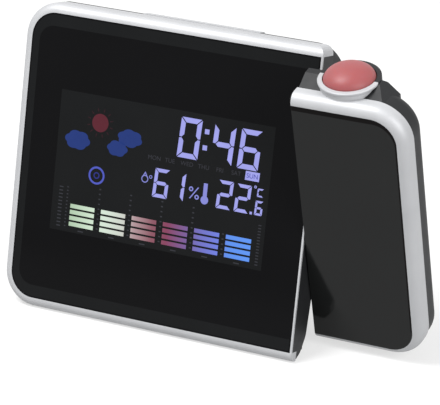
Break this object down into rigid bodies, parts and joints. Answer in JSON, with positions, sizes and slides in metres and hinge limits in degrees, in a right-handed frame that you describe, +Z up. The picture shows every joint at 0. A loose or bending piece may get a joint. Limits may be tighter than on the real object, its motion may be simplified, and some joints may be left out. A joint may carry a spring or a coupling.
{
  "type": "projection alarm clock",
  "caption": "Bedside weather-station alarm clock with a colour display in a silver rim and a turning projector arm with a red window.",
  "frame": {"origin": "on the table, under the middle of the clock's bounding box at rest", "axes": "+Z up, -Y towards the user, +X to the user's right, where the projector arm is"},
  "size_m": [0.1552, 0.0488, 0.108],
  "materials": {
    "smoked_acrylic": "polished smoked acrylic",
    "silver_abs": "satin silver-lacquered ABS",
    "black_abs": "fine-textured black ABS",
    "red_window": "tinted translucent acrylic",
    "black_rubber": "matt",
    "display_glass": "polarised glass",
    "light_guide": "milky acrylic",
    "white_plastic": "moulded",
    "circuit_board": "solder resist",
    "chip_epoxy": "epoxy",
    "zinc_steel": "zinc plated",
    "nickel_plate": "nickel plated spring steel",
    "cell_jacket": "plain grey jacket",
    "brass": "plain",
    "clear_lens": "polished",
    "acetal": "natural acetal"
  },
  "bodies": {
    "root": {"front_lens": "smoked_acrylic", "front_rim": "silver_abs", "rear_case": "black_abs", "case_screws": "zinc_steel", "rear_feet": "black_rubber", "lcd_panel": "display_glass", "light_guide": "light_guide", "lcd_holder": "white_plastic", "contact_strip": "black_rubber", "main_board": "circuit_board", "controller_chip": "chip_epoxy", "backlight_lamps": "white_plastic", "lead_socket": "white_plastic", "key_switches": "chip_epoxy", "snooze_switch": "chip_epoxy", "batteries": "cell_jacket", "left_battery_contacts": "nickel_plate", "right_battery_contacts": "nickel_plate", "power_socket": "chip_epoxy", "power_socket_pin": "nickel_plate", "buzzer": "brass", "air_sensor": "circuit_board", "hinge_bush": "acetal", "spring_washer": "zinc_steel"},
    "arm": {"hinge_shaft": "zinc_steel", "shaft_clip": "zinc_steel", "projector_lead": "black_rubber", "arm_lens": "smoked_acrylic", "arm_rim": "silver_abs", "arm_rear_shell": "black_abs", "arm_screws": "zinc_steel", "projector_window": "red_window", "projector_carrier": "chip_epoxy", "projector_lcd": "display_glass", "projector_lamp": "clear_lens", "projector_board": "circuit_board"},
    "snooze": {"snooze_bar": "silver_abs"},
    "door": {"battery_door": "black_abs"},
    "focus": {"focus_wheel": "black_abs"},
    "barrel": {"focus_barrel": "chip_epoxy", "focus_lens": "clear_lens"},
    "mode_key_body": {"mode_key": "black_rubber"},
    "set_key_body": {"set_key": "black_rubber"},
    "up_key_body": {"up_key": "black_rubber"},
    "down_key_body": {"down_key": "black_rubber"},
    "alarm_key_body": {"alarm_key": "black_rubber"}
  },
  "joints": [
    {"name": "arm_pivot", "type": "hinge", "parent": "root", "child": "arm", "pos_m": [0.03665, -0.00391, 0.04269], "axis": [1, 0, 0], "range_deg": [-103, 77]},
    {"name": "snooze_press", "type": "slide", "parent": "root", "child": "snooze", "axis": [0, -0.2164, -0.9763], "range_m": [0, 0.001], "stiffness_N_per_m": 900, "springref_m": -0.0004},
    {"name": "door_removal", "type": "slide", "parent": "root", "child": "door", "axis": [0, 0.9763, -0.2164], "range_m": [0, 0.015]},
    {"name": "focus_turn", "type": "hinge", "parent": "arm", "child": "focus", "pos_m": [0.0529, -0.00711, 0.08813], "axis": [0, -0.225, 0.9744], "range_deg": [-60, 60]},
    {"name": "barrel_slide", "type": "slide", "parent": "arm", "child": "barrel", "axis": [0, -0.225, 0.9744], "range_m": [-0.0015, 0.0015]},
    {"name": "mode_press", "type": "slide", "parent": "root", "child": "mode_key_body", "axis": [0, -0.9506, 0.3105], "range_m": [0, 0.0008], "stiffness_N_per_m": 900, "springref_m": -0.0004},
    {"name": "set_press", "type": "slide", "parent": "root", "child": "set_key_body", "axis": [0, -0.9506, 0.3105], "range_m": [0, 0.0008], "stiffness_N_per_m": 900, "springref_m": -0.0004},
    {"name": "up_press", "type": "slide", "parent": "root", "child": "up_key_body", "axis": [0, -0.9506, 0.3105], "range_m": [0, 0.0008], "stiffness_N_per_m": 900, "springref_m": -0.0004},
    {"name": "down_press", "type": "slide", "parent": "root", "child": "down_key_body", "axis": [0, -0.9506, 0.3105], "range_m": [0, 0.0008], "stiffness_N_per_m": 900, "springref_m": -0.0004},
    {"name": "alarm_press", "type": "slide", "parent": "root", "child": "alarm_key_body", "axis": [0, -0.9506, 0.3105], "range_m": [0, 0.0008], "stiffness_N_per_m": 900, "springref_m": -0.0004}
  ],
  "couplings": [
    {"joint": "barrel_slide", "follows": "focus_turn", "m_per_rad": 0.0014324}
  ]
}
